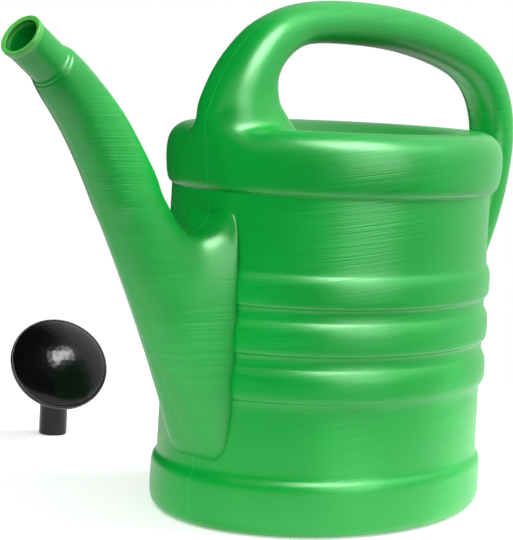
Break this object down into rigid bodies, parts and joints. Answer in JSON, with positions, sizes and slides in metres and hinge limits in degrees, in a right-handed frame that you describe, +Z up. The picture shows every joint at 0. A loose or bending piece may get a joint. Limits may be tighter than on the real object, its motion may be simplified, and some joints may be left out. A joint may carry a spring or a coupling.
{
  "type": "watering can",
  "caption": "Oval garden watering can moulded in one hollow piece with a rising spout and loop handle, and a separate push-in sprinkling rose.",
  "frame": {"origin": "centre of the can's flat underside", "axes": "+Z up, the spout points along -X and the loop handle lies in the XZ plane; the rose stands on the +Y side"},
  "size_m": [0.5147, 0.405, 0.3613],
  "materials": {
    "green_plastic": "satin blow-moulded polyethylene with faint mould striations",
    "black_plastic": "glossy injection-moulded black"
  },
  "bodies": {
    "can": {"base_pan": "green_plastic", "barrel_wall": "green_plastic", "hood": "green_plastic", "spout_root": "green_plastic", "spout_tube": "green_plastic", "spout_nozzle": "green_plastic", "handle_front_leg": "green_plastic", "handle_grip": "green_plastic", "handle_rear_leg": "green_plastic"},
    "rose": {"rose_shell": "black_plastic"},
    "rose_face": {"rose_face": "black_plastic"}
  },
  "joints": [
    {"name": "rose_lift", "type": "slide", "parent": "can", "child": "rose", "axis": [0, 0, 1], "range_m": [0, 0.12]},
    {"name": "rose_face_pull", "type": "slide", "parent": "rose", "child": "rose_face", "axis": [-0.3585, -0.7286, 0.5835], "range_m": [0, 0.02]}
  ]
}
